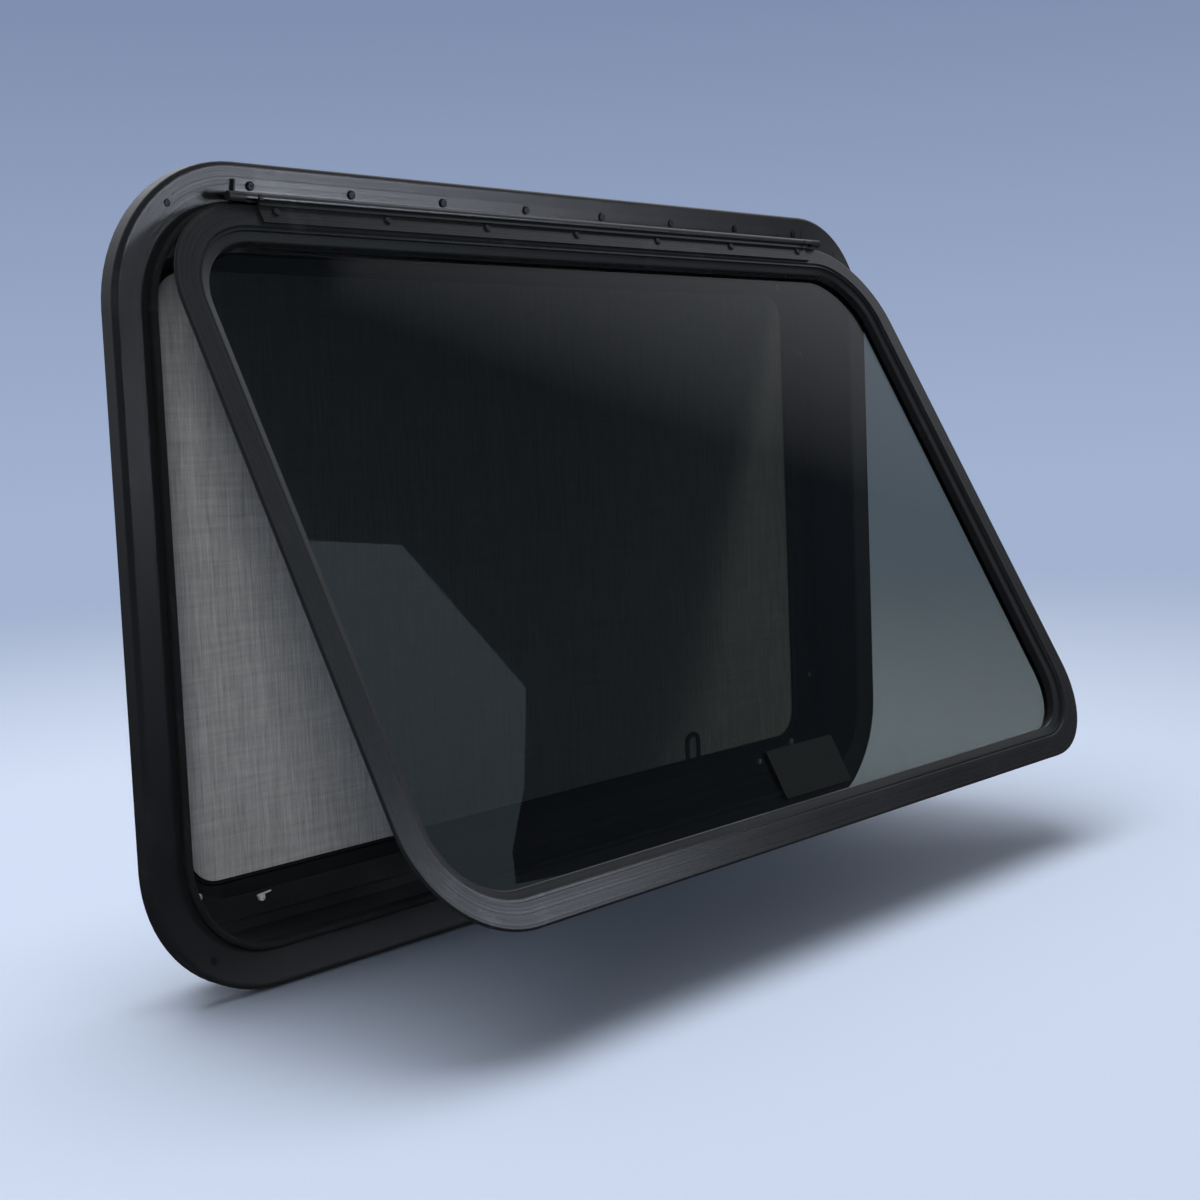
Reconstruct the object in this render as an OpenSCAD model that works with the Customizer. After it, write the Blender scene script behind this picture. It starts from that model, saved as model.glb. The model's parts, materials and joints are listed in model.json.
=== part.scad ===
// Top-hung caravan window, 30 by 20 inches overall, with its sash standing open.
// A bent hollow aluminium frame is screwed to the vehicle's skin and carries an insect screen inside.
// The glazed sash hangs from an extruded hinge whose two leaves hook into each other.
// X runs along the window, Y points into the vehicle and Z is up.
// The origin is on the frame's back face, at the middle of its lower contact band.
// Sections are drawn with "inset" (distance inwards from an outer edge) and depth (into the vehicle).

/* [Outer frame] */
// Overall width of the frame
frame_w = 762; // [700:1:1000]
// Overall height of the frame
frame_h = 508; // [460:1:700]
// Outer corner radius of the frame
frame_r = 90; // [84:1:110]
// Height of the frame's outer edge above the vehicle's skin
frame_proud = 13.2; // [12.6:0.1:16]
// Width of the frame's sloping face
face_w = 25; // [24:0.5:27]
// Fall of the sloping face towards the opening
face_drop = 4; // [3:0.25:5]
// Radius of the frame's outer front edge
edge_r = 3; // [2:0.25:3.5]
// Wall thickness of the frame
frame_wall = 2; // [1.6:0.1:2.2]
// Width of the seat beside the face that holds the weather seal
seal_seat_w = 3.5; // [3.3:0.1:4]
// Depth of the jamb behind the vehicle's skin
jamb_depth = 38; // [30:1:50]

/* [Screen stop] */
// Reach of the lip from the jamb's inner face
lip_reach = 21.5; // [19:0.5:23]
// Thickness of the lip
lip_t = 1.8; // [1.4:0.1:2]
// Depth of the lip's back behind the mouth of the screw channel, measured along the jamb
lip_back_from_end = 2.5; // [2:0.25:3]
// Width of the screw channel
channel_w = 4; // [3:0.25:4]
// Depth of the screw channel
channel_depth = 8.2; // [7:0.2:10]

/* [Weather seal] */
// Radius of the seal's bulb
bulb_r = 2.5; // [2.2:0.1:2.6]
// Width of the seal's foot
seal_foot_w = 3.2; // [2.6:0.1:3.2]
// Shift of the bulb from the middle of the seal's foot
seal_lean = 0.4; // [0:0.1:0.6]
// Gap between the bulb and the shut sash
seal_gap = 0.3; // [0.1:0.1:0.6]

/* [Hinge] */
// Distance of the hinge axis below the frame's top edge
axis_drop = 22.4; // [22:0.1:23]
// Distance of the hinge axis in front of the frame's outer edge
axis_out = 8; // [7.8:0.1:9]
// Outer radius of the socket
socket_r = 3; // [2.9:0.05:3.2]
// Radius of the bead that turns in the socket
bead_r = 1.85; // [1.7:0.05:2]
// Running clearance round the bead
bead_gap = 0.05; // [0.03:0.01:0.09]
// Thickness of the neck between the bead and the sash leaf
neck_t = 1; // [0.8:0.1:1.1]
// Thickness of both hinge leaves
leaf_t = 1.8; // [1.5:0.1:2]
// Length by which the frame leaf runs past the frame's straight top edge, at each end
leaf_overrun = 0; // [-40:0.5:0]
// Length by which the sash leaf is shorter than the frame leaf, at each end
leaf_setback = 9; // [2:0.5:30]
// Inset of the frame leaf's upper edge from the frame's outer edge
frame_leaf_top = 10.5; // [8:0.5:12]
// Inset of the frame leaf's lower edge from the frame's outer edge
frame_leaf_foot = 20; // [19:0.25:20.5]
// Rise of the socket's web above the socket
web_rise = 1.6; // [1:0.1:2.5]
// Gap between the socket and the sash leaf's shelf
shelf_gap = 0.6; // [0.4:0.1:0.8]
// Distance of the sash leaf's lower edge below the hinge axis
sash_leaf_foot = 16; // [13:0.5:17]
// Length of each end cap
end_cap_len = 12.5; // [8:0.5:16]
// Clearance between the end caps and the frame's face, which starts to bend there
cap_gap = 0.3; // [0.25:0.05:0.5]
// Thickness of the fin that closes the end of the frame leaf
fin_t = 1.2; // [0.8:0.1:2]
// Height by which the fin stands above the frame leaf
fin_rise = 0.4; // [0.2:0.1:1]
// Furthest angle to which the sash opens
swing_max = 45; // [40:1:50]
// Angle that the socket's mouth leaves free on each side of the neck
mouth_margin = 8; // [5:1:12]

/* [Sash] */
// Inset of the shut sash from the frame's sides
sash_side_inset = 18.5; // [18:0.25:19]
// Inset of the shut sash from the frame's lower edge
sash_foot_inset = 17.5; // [17:0.25:18.5]
// Distance of the sash's upper edge below the hinge axis
sash_hang = 2.3; // [2.2:0.1:3]
// Distance of the shut sash's face behind the hinge axis
sash_back = 3.3; // [3.1:0.1:3.4]
// Outer corner radius of the sash
sash_r = 71; // [66:1:76]
// Thickness of the sash's outer flange
flange_t = 2.5; // [2.2:0.1:2.6]
// Width of the sash's raised outer band
band_w = 15.5; // [14:0.25:15.75]
// Width of the sash's whole visible face
sash_face_w = 24.5; // [23.5:0.25:27]
// Depth of the inner band's outer edge behind the sash's face
step_depth = 3; // [2.5:0.1:3.2]
// Width of the sloping step between the two bands
step_run = 1.7; // [1:0.1:2.5]
// Width of the bevel at the inner band's inner edge
land_bevel = 0.7; // [0.4:0.1:1.2]
// Fall of the inner band towards the glass
step_fall = 1.2; // [0.8:0.1:1.6]
// Inset of the glass pocket's wall from the sash's outer edge
pocket_inset = 16; // [16:0.25:16.5]
// Thickness of the glass pocket's wall
pocket_wall = 2; // [1.5:0.1:2]
// Depth of the sash from its face to its back
sash_depth = 16; // [15:0.25:17]
// Angle at which the sash stands open
open_angle = 28.6; // [0:0.1:45]

/* [Glass] */
// Thickness of the glass
glass_t = 4; // [3:0.5:4.5]
// Depth of the glass behind the sash's face
glass_recess = 10; // [9:0.25:10.5]
// Thickness of the tape in front of the glass
tape_t = 0.5; // [0.4:0.1:1]
// Gap between the edge of the glass and its pocket
glass_edge_gap = 0.5; // [0.3:0.1:1]
// Width by which the tape shows beside the sash's face
tape_show = 0.4; // [0.2:0.1:0.8]
// Distance of the rubber bead's edge from the edge of the sash's face
bead_shy = 1; // [0.5:0.1:2]
// Depth of the rubber bead behind the glass
bead_depth = 3; // [2.5:0.25:3.5]

/* [Insect screen] */
// Gap at each side between the frame's outer edge and the screen, seen from the front
screen_side_inset = 44; // [42:0.5:46]
// Gap at top and bottom between the frame's outer edge and the screen, seen from the front
screen_end_inset = 46; // [44:0.5:47]
// Outer corner radius of the screen
screen_r = 38.4; // [34:0.2:44]
// Width of the screen's rails
rail_w = 19; // [18:0.5:22]
// Thickness of the screen's rails
rail_t = 7.9; // [7:0.1:9]
// Sheet thickness of the screen's rails
rail_wall = 1.2; // [0.8:0.1:1.5]
// Distance of the cloth's edge from the screen's outer edge
cloth_inset = 16.4; // [16.2:0.1:17]
// Thickness of the stretched cloth
cloth_t = 0.6; // [0.4:0.1:0.8]
// Radius of the spline that holds the cloth
spline_r = 1.5; // [1.3:0.1:1.7]
// Distance of the cloth's edge from the spline's groove
cloth_shy = 0.2; // [0.1:0.1:0.4]
// Clearance on each side of the spline in its groove
spline_gap = 0.1; // [0.05:0.05:0.2]
// Place of the pull loop along the screen's lower edge
loop_x = 180; // [-220:1:220]
// Width of the pull loop
loop_w = 18; // [14:1:22]
// Height of the pull loop above the cloth's lower edge
loop_rise = 22; // [18:1:28]
// Width of the strap that forms the pull loop
loop_strap_w = 4; // [3:0.5:5]
// Thickness of the pull loop
loop_t = 1.2; // [1:0.1:2]

/* [Screen clips] */
// Height of the clips above and below the window's middle
clip_z = 144; // [110:1:150]
// Length of each clip along the jamb
clip_len = 16; // [10:1:20]
// Thickness of the clips
clip_t = 1.5; // [1:0.1:2]
// Distance of each clip's foot from the jamb's inner face
clip_foot_gap = 0.5; // [0.2:0.1:1]
// Distance of each clip's riser from the screw channel
clip_riser_gap = 1.5; // [0.5:0.1:2.5]
// Reach of each clip over the screen's rail
clip_reach = 6; // [4:0.5:8]

/* [Hidden] */
$fn = 96;

frame_black = "#242427";
trim_black = "#101011";
screen_grey = "#3a3c40";
cloth_grey = "#8f9498";
glass_tint = [0.20, 0.24, 0.25, 0.5];

// The four sides and corners are numbered anticlockwise as seen from outside
RIGHT = 0;
TOP = 1;
LEFT = 2;
BOTTOM = 3;
TOP_RIGHT = 0;
TOP_LEFT = 1;
BOTTOM_LEFT = 2;
BOTTOM_RIGHT = 3;

// Outer frame: depths are counted from its outer front edge
face_tilt = atan(face_drop / face_w);
edge_depth = edge_r * (face_drop / face_w + 1 / cos(face_tilt));
edge_end = edge_r * (1 + sin(face_tilt));
seat_depth = frame_proud - frame_wall;
jamb_inner = face_w + seal_seat_w;
jamb_outer = jamb_inner - frame_wall;
jamb_end = frame_proud + jamb_depth;
frame_mid_z = frame_h / 2 - jamb_outer / 2;

// Screen stop
lip_back = jamb_end - lip_back_from_end;
lip_edge = jamb_inner + lip_reach;
channel_edge = jamb_inner + channel_w + frame_wall;
channel_floor = jamb_end - channel_depth - frame_wall;

// Hinge
axis_y = -frame_proud - axis_out;
axis_z = frame_mid_z + frame_h / 2 - axis_drop;
bore_r = bead_r + bead_gap;
frame_leaf_len = frame_w - 2 * frame_r + 2 * leaf_overrun;
sash_leaf_len = frame_leaf_len - 2 * leaf_setback;
straight_down = 270;
neck_spread = asin(neck_t / 2 / bore_r);

// Sash, drawn shut
sash_w = frame_w - 2 * sash_side_inset;
sash_h = frame_h - axis_drop - sash_hang - sash_foot_inset;
sash_mid_z = -sash_hang - sash_h / 2;
pocket_inner = pocket_inset + pocket_wall;
glass_inset = pocket_inner + glass_edge_gap;
glass_back = glass_recess + glass_t;
land_depth = glass_recess - tape_t;

// Weather seal: its bulb stops just short of the shut sash
sash_flange_back = sash_back + flange_t - axis_out;
bulb_front = sash_flange_back + seal_gap;
bulb_mid = bulb_front + bulb_r;
seal_mid_inset = face_w + seal_foot_w / 2;

// Screen: depths in its section are counted from the front of its rails
screen_w = frame_w - 2 * screen_side_inset;
screen_h = frame_h - 2 * screen_end_inset;
groove_w = 2 * (spline_r + spline_gap);
groove_depth = groove_w;
groove_outer = cloth_inset - cloth_shy - groove_w;
groove_inner = groove_outer + groove_w;
cloth_front = lip_back - cloth_t;
rail_back = lip_back + rail_t;

// Depth of the frame's sloping face at a given inset
function face_depth(inset) = inset * face_drop / face_w;

// Point at a given inset, raised off the sloping face, as seen from the hinge axis
function on_face(inset, raised) = [
    face_depth(inset) - raised * cos(face_tilt) + axis_out,
    axis_drop - inset - raised * sin(face_tilt)
];

// Turns a shape drawn as a front view, with its depth along Z, to face outwards
module upright() {
    mirror([0, 1, 0]) rotate([90, 0, 0]) children();
}

// Front view centred on the frame, with depth counted from the frame's outer front edge
module in_frame() {
    translate([0, -frame_proud, frame_mid_z]) upright() children();
}

// Front view centred on the screen, with depth counted from the front of its rails
module in_screen() {
    translate([0, 0, lip_back]) children();
}

// Swings what is drawn round the hinge axis from shut to the open angle
module swing() {
    translate([0, axis_y, axis_z]) rotate([-open_angle, 0, 0]) children();
}

// Front view centred on the sash, with depth counted from the sash's face
module in_sash() {
    swing() translate([0, sash_back, sash_mid_z]) upright() children();
}

// One straight side of a rounded rectangle, swept with a section of inset and depth
module ring_side(w, h, r, side) {
    upended = side == TOP || side == BOTTOM;
    across = upended ? h : w;
    along = upended ? w : h;
    rotate([0, 0, 90 * side]) translate([across / 2, along / 2 - r, 0])
        rotate([90, 0, 0]) linear_extrude(along - 2 * r) mirror([1, 0]) children();
}

// One bent corner of a rounded rectangle, swept with the same section
module ring_corner(w, h, r, corner) {
    upended = corner == TOP_LEFT || corner == BOTTOM_RIGHT;
    across = upended ? h : w;
    along = upended ? w : h;
    rotate([0, 0, 90 * corner]) translate([across / 2 - r, along / 2 - r, 0])
        rotate_extrude(angle = 90) translate([r, 0]) mirror([1, 0]) children();
}

// A whole rounded rectangle bent from one section
module bent_ring(w, h, r) {
    for (k = [0 : 3]) {
        ring_side(w, h, r, k) children();
        ring_corner(w, h, r, k) children();
    }
}

// Extrudes a side view, drawn in depth and height, between two places along X
module along_x(x0, x1) {
    translate([x0, 0, 0]) rotate([90, 0, 90]) linear_extrude(x1 - x0) children();
}

// Rounded rectangle centred on the origin
module rounded_sheet(w, h, r) {
    square([w - 2 * r, h], center = true);
    square([w, h - 2 * r], center = true);
    for (sx = [-1, 1], sy = [-1, 1])
        translate([sx * (w / 2 - r), sy * (h / 2 - r)]) circle(r);
}

// Rectangle between two corners
module bar(x0, y0, x1, y1) {
    translate([x0, y0]) square([x1 - x0, y1 - y0]);
}

// Section of the frame: hollow body with a sloping face, seal seat, jamb, lip and screw channel
module frame_section() {
    skin_drop = frame_wall / cos(face_tilt);
    hollow_end = face_w - frame_wall;
    difference() {
        union() {
            translate([edge_r, edge_depth]) circle(edge_r);
            polygon([
                [0, edge_depth],
                [edge_end, edge_depth - edge_r * cos(face_tilt)],
                [face_w, face_drop],
                [face_w, frame_proud],
                [0, frame_proud]
            ]);
        }
        polygon([
            [frame_wall, face_depth(frame_wall) + skin_drop],
            [hollow_end, face_depth(hollow_end) + skin_drop],
            [hollow_end, seat_depth],
            [frame_wall, seat_depth]
        ]);
    }
    bar(face_w, seat_depth, jamb_inner, frame_proud);
    bar(jamb_outer, seat_depth, jamb_inner, jamb_end);
    bar(jamb_inner, channel_floor, channel_edge, channel_floor + frame_wall);
    bar(channel_edge - frame_wall, channel_floor, channel_edge, jamb_end);
    bar(channel_edge - frame_wall, lip_back - lip_t, lip_edge, lip_back);
}

module outer_frame() {
    color(frame_black) in_frame() bent_ring(frame_w, frame_h, frame_r) frame_section();
}

// Section of the seal: a foot in its seat and a bulb in front of it
module seal_section() {
    bar(face_w, bulb_mid, face_w + seal_foot_w, seat_depth);
    translate([seal_mid_inset + seal_lean, bulb_mid]) circle(bulb_r);
}

module weather_seal() {
    color(trim_black) in_frame() difference() {
        bent_ring(frame_w, frame_h, frame_r) seal_section();
        bent_ring(frame_w, frame_h, frame_r) bar(0, 0, face_w, frame_proud);
    }
}

// Side view of the frame leaf's plate and of the web that carries the socket
module leaf_plate_and_web() {
    web_top = axis_drop - socket_r - web_rise;
    root_r = (bore_r + socket_r) / 2;
    polygon([
        [root_r * cos(20), root_r * sin(20)],
        on_face(frame_leaf_foot, 0),
        on_face(frame_leaf_top, 0),
        on_face(frame_leaf_top, leaf_t),
        on_face(web_top, leaf_t),
        [root_r * cos(100), root_r * sin(100)]
    ]);
}

// Side view of the socket's mouth, which frees the neck from shut to fully open
module socket_mouth() {
    reach = 2 * socket_r;
    from = straight_down - swing_max - neck_spread - mouth_margin;
    to = straight_down + neck_spread + mouth_margin;
    middle = (from + to) / 2;
    polygon([
        [0, 0],
        [reach * cos(from), reach * sin(from)],
        [2 * reach * cos(middle), 2 * reach * sin(middle)],
        [reach * cos(to), reach * sin(to)]
    ]);
}

module hinge_frame_leaf() {
    color(frame_black) translate([0, axis_y, axis_z])
        along_x(-frame_leaf_len / 2, frame_leaf_len / 2) difference() {
            union() {
                leaf_plate_and_web();
                circle(socket_r);
            }
            circle(bore_r);
            socket_mouth();
        }
}

// Cap at one end of the hinge: it blocks the socket and a thin fin covers the leaf's end
module hinge_end_cap(side) {
    leaf_end = side * frame_leaf_len / 2;
    cap_end = leaf_end + side * end_cap_len;
    fin_end = leaf_end + side * fin_t;
    color(trim_black) translate([0, axis_y, axis_z]) {
        along_x(min(leaf_end, cap_end), max(leaf_end, cap_end)) {
            circle(socket_r);
            polygon([
                [0, 0],
                on_face(frame_leaf_foot, cap_gap),
                on_face(axis_drop - socket_r, cap_gap),
                [0, bore_r]
            ]);
        }
        along_x(min(leaf_end, fin_end), max(leaf_end, fin_end))
            polygon([
                on_face(frame_leaf_top, cap_gap),
                on_face(frame_leaf_top, leaf_t + fin_rise),
                on_face(frame_leaf_foot, leaf_t + fin_rise),
                on_face(frame_leaf_foot, cap_gap)
            ]);
    }
}

// Side view of the sash leaf, drawn shut: bead, neck, shelf and a plate lying on the sash's face
module hinge_sash_leaf() {
    shelf_top = -socket_r - shelf_gap;
    shelf_foot = shelf_top - leaf_t;
    color(frame_black) swing()
        along_x(-sash_leaf_len / 2, sash_leaf_len / 2) {
            circle(bead_r);
            bar(-neck_t / 2, shelf_foot, neck_t / 2, 0);
            bar(-neck_t / 2, shelf_foot, sash_back, shelf_top);
            bar(sash_back - leaf_t, -sash_leaf_foot, sash_back, shelf_top);
        }
}

// Section of a screen rail: a closed tube with a groove for the spline and a ledge for the cloth
module rail_section() {
    difference() {
        bar(0, 0, rail_w, rail_t);
        bar(groove_outer, -1, groove_inner, groove_depth);
        bar(rail_wall, rail_wall, groove_outer - rail_wall, rail_t - rail_wall);
    }
}

module screen_rail(side) {
    color(screen_grey) in_frame() in_screen()
        ring_side(screen_w, screen_h, screen_r, side) rail_section();
}

module screen_corner(corner) {
    color(trim_black) in_frame() in_screen()
        ring_corner(screen_w, screen_h, screen_r, corner) rail_section();
}

module screen_spline() {
    color(trim_black) in_frame() in_screen()
        bent_ring(screen_w, screen_h, screen_r)
            translate([(groove_outer + groove_inner) / 2, groove_depth - spline_r])
                circle(spline_r);
}

module screen_mesh() {
    color(cloth_grey) in_frame() translate([0, 0, cloth_front])
        linear_extrude(cloth_t)
            rounded_sheet(screen_w - 2 * cloth_inset, screen_h - 2 * cloth_inset,
                screen_r - cloth_inset);
}

// Strap loop standing on the cloth, by which the screen is pulled out
module screen_pull_loop() {
    cloth_foot = -screen_h / 2 + cloth_inset;
    bend_z = cloth_foot + loop_rise - loop_w / 2;
    eye_w = loop_w - 2 * loop_strap_w;
    color(trim_black) in_frame() translate([loop_x, 0, cloth_front - loop_t])
        linear_extrude(loop_t) difference() {
            union() {
                bar(-loop_w / 2, cloth_foot, loop_w / 2, bend_z);
                translate([0, bend_z]) circle(loop_w / 2);
            }
            bar(-eye_w / 2, cloth_foot - 1, eye_w / 2, bend_z);
            translate([0, bend_z]) circle(eye_w / 2);
        }
}

// Clip on the end of the jamb, with a raised arm that holds the screen against the lip
module screen_clip(side, height) {
    foot = jamb_inner + clip_foot_gap;
    riser = channel_edge + clip_riser_gap;
    arm_end = screen_side_inset + clip_reach;
    color(screen_grey) in_frame()
        rotate([0, 0, 90 * side]) translate([frame_w / 2, height + clip_len / 2, 0])
            rotate([90, 0, 0]) linear_extrude(clip_len) mirror([1, 0]) {
                bar(foot, jamb_end, riser + clip_t, jamb_end + clip_t);
                bar(riser, jamb_end, riser + clip_t, rail_back + clip_t);
                bar(riser, rail_back, arm_end, rail_back + clip_t);
            }
}

// Section of the sash: raised outer band, step, sloping inner band, glazing land and pocket wall
module sash_section() {
    lip_r = flange_t / 2;
    translate([lip_r, lip_r]) circle(lip_r);
    bar(lip_r, 0, band_w, flange_t);
    bar(pocket_inset, flange_t / 2, pocket_inner, sash_depth);
    polygon([
        [band_w - 1, 0],
        [band_w, 0],
        [band_w + step_run, step_depth],
        [sash_face_w - land_bevel, step_depth + step_fall],
        [sash_face_w, step_depth + step_fall + land_bevel],
        [sash_face_w, land_depth],
        [pocket_inset, land_depth],
        [pocket_inset, flange_t],
        [band_w - 1, flange_t]
    ]);
}

module sash_frame() {
    color(frame_black) in_sash() bent_ring(sash_w, sash_h, sash_r) sash_section();
}

module glass_pane() {
    color(glass_tint) in_sash() translate([0, 0, glass_recess])
        linear_extrude(glass_t)
            rounded_sheet(sash_w - 2 * glass_inset, sash_h - 2 * glass_inset,
                sash_r - glass_inset);
}

module glazing_tape() {
    color(trim_black) in_sash() bent_ring(sash_w, sash_h, sash_r)
        bar(glass_inset, land_depth, sash_face_w + tape_show, glass_recess);
}

module glazing_bead() {
    color(trim_black) in_sash() bent_ring(sash_w, sash_h, sash_r)
        bar(pocket_inner, glass_back, sash_face_w - bead_shy, glass_back + bead_depth);
}

outer_frame();
weather_seal();
hinge_frame_leaf();
hinge_end_cap(-1);  // hinge_end_cap_left
hinge_end_cap(1);  // hinge_end_cap_right
screen_rail(TOP);  // screen_rail_top
screen_rail(BOTTOM);  // screen_rail_bottom
screen_rail(LEFT);  // screen_rail_left
screen_rail(RIGHT);  // screen_rail_right
screen_corner(TOP_LEFT);  // screen_corner_top_left
screen_corner(TOP_RIGHT);  // screen_corner_top_right
screen_corner(BOTTOM_LEFT);  // screen_corner_bottom_left
screen_corner(BOTTOM_RIGHT);  // screen_corner_bottom_right
screen_spline();
screen_mesh();
screen_pull_loop();
screen_clip(LEFT, -clip_z);  // screen_clip_upper_left
screen_clip(RIGHT, clip_z);  // screen_clip_upper_right
screen_clip(LEFT, clip_z);  // screen_clip_lower_left
screen_clip(RIGHT, -clip_z);  // screen_clip_lower_right
sash_frame();
glass_pane();
glazing_tape();
glazing_bead();
hinge_sash_leaf();
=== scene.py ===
# %% [markdown]
# # A top-hung caravan window
#
# The window is a bent aluminium frame, a glazed sash on a hooked hinge and an insect screen
# behind it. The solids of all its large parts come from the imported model, already in metres and
# in their places. This lesson gives them their finishes, and adds what is too small for the
# solids: screws, the woven cloth, and a few marks of use. Every new piece is tied to the body
# that carries it, so the sash's pieces swing with the sash.

# %% Load the frame
import bpy
import bmesh
import json
import math
from mathutils import Matrix, Vector


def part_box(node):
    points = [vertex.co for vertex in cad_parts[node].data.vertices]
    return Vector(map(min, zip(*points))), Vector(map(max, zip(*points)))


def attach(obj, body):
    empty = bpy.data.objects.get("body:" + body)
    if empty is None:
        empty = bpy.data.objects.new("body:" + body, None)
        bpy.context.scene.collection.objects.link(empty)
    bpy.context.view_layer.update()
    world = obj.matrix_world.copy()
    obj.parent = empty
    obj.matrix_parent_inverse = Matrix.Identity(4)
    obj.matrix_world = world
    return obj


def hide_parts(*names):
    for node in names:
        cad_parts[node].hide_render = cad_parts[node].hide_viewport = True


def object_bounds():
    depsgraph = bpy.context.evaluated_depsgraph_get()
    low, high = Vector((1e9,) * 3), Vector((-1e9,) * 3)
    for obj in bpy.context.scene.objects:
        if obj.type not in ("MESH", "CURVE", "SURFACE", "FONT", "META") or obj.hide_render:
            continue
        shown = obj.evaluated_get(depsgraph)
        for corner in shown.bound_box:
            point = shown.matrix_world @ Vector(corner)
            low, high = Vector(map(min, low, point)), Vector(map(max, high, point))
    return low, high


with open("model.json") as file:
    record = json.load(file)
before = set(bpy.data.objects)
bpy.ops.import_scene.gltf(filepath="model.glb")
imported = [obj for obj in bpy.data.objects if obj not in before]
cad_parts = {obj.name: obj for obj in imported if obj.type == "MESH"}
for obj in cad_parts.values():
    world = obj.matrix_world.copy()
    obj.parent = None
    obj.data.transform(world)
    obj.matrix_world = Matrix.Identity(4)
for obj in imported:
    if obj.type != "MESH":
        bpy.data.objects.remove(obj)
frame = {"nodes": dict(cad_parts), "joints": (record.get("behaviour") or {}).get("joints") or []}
cad_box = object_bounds()
nodes = frame["nodes"]
MM = 0.001

# %% [markdown]
# ## Places on the window
#
# The real window has two flat references: the frame, and the sash, which hangs from the hinge
# and leans outwards. Each gets a small function that turns plain millimetres, measured as one
# would with a ruler on that part, into a place in the model. A screw is then given by where it
# sits on its rail, and not by where it is in the room.

# %% Places on the frame and the sash
FRAME_W, FRAME_H, FRAME_R = 762.0, 508.0, 90.0
FRAME_PROUD = 13.2                # the frame's front edge, in front of the wall
MID_Z = 240.75                    # the height of the frame's middle
FACE_FALL = 4.0 / 25.0            # how steeply the frame's face slopes
FACE_TILT = math.atan(FACE_FALL)
AXIS_OUT, AXIS_DROP = 8.0, 22.4   # the hinge axis, before the front edge and below the top edge
SASH_W, SASH_H, SASH_R = 725.0, 465.8, 71.0
SASH_HANG, SASH_BACK = 2.3, 3.3   # the sash, below and behind the hinge axis
LEAF_T = 1.8                      # the thickness of the hinge's leaves
OUTWARDS = Vector((0, -1, 0))

hinge = frame["joints"][0]
open_angle = math.radians(-hinge["range_deg"][0])
axis_point = Vector(hinge["pos_m"])
sash_down = Vector((0, -math.sin(open_angle), -math.cos(open_angle)))
sash_in = Vector((0, math.cos(open_angle), -math.sin(open_angle)))


def on_frame(x, z, depth):
    """A place from the frame's middle, with its depth behind the frame's outer front edge."""
    return Vector((x, depth - FRAME_PROUD, z + MID_Z)) * MM


def on_sash(x, down, behind):
    """A place from the middle of the hinge axis, down along the sash and behind the axis."""
    return axis_point + Vector((x, 0, 0)) * MM + sash_down * down * MM + sash_in * behind * MM


print("sash stands open by", round(math.degrees(open_angle), 1), "degrees")

# %% [markdown]
# ## The camera
#
# The photograph is taken from the left, a little above the window's middle and rather close, so
# the left side looks clearly larger than the right. Only a camera at the same place and angle
# gives those proportions. Its direction comes from two angles and a small roll, and the lens is
# chosen so that the window fills the picture.

# %% Camera
CAMERA_PLACE = Vector((-0.9784, -0.9130, 0.3262))
CAMERA_AZIMUTH, CAMERA_RISE, CAMERA_ROLL = map(math.radians, (-48.003, 5.398, -2.343))
SENSOR_WIDTH, LENS = 36, 54.6
NEAREST_SEEN = 0.05
camera_data = bpy.data.cameras.new("camera")
camera = bpy.data.objects.new("camera", camera_data)
bpy.context.scene.collection.objects.link(camera)
backwards = Vector((
    math.sin(CAMERA_AZIMUTH) * math.cos(CAMERA_RISE),
    -math.cos(CAMERA_AZIMUTH) * math.cos(CAMERA_RISE),
    math.sin(CAMERA_RISE),
))
level_right = Vector((0, 0, 1)).cross(backwards).normalized()
level_up = backwards.cross(level_right)
right = math.cos(CAMERA_ROLL) * level_right + math.sin(CAMERA_ROLL) * level_up
up = backwards.cross(right)
facing = Matrix((right, up, backwards)).transposed().to_4x4()
camera.matrix_world = Matrix.Translation(CAMERA_PLACE) @ facing
camera_data.sensor_width = SENSOR_WIDTH
camera_data.lens = LENS
camera_data.clip_start = NEAREST_SEEN
bpy.context.scene.camera = camera
print("camera at", [round(v, 3) for v in camera.location], "lens", camera_data.lens)

# %% [markdown]
# ## The view
#
# The plain view transform shows the colours as they are set, without the look of a film.

# %% View
bpy.context.scene.view_settings.view_transform = "Standard"
print("view:", bpy.context.scene.view_settings.view_transform)

# %% [markdown]
# ## A small language for finishes
#
# A finish is a net of nodes, and a long net is hard to read. Here one small class holds an
# output socket and answers to plus, minus, times and divide by adding the Math node itself, so
# that a finish reads like a sum. A second class holds the material and makes any other node
# with one method.

# %% Sockets that can be added and multiplied
MIX_FIRST, MIX_SECOND, MIX_RESULT = 6, 7, 2   # the Mix node's sockets for colours


class Wire:
    """An output socket of a finish, to calculate with."""

    def __init__(self, finish, socket):
        self.finish, self.socket = finish, socket

    def math(self, operation, *others, first=None):
        values = [self if first is None else first, *others]
        return self.finish.node("ShaderNodeMath", {"operation": operation}, dict(enumerate(values)))

    def __add__(self, other): return self.math("ADD", other)
    def __sub__(self, other): return self.math("SUBTRACT", other)
    def __mul__(self, other): return self.math("MULTIPLY", other)
    def __truediv__(self, other): return self.math("DIVIDE", other)
    def __gt__(self, other): return self.math("GREATER_THAN", other)
    def __abs__(self): return self.math("ABSOLUTE")
    def __rsub__(self, other): return self.math("SUBTRACT", self, first=other)
    def __rtruediv__(self, other): return self.math("DIVIDE", self, first=other)
    __radd__, __rmul__ = __add__, __mul__


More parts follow.
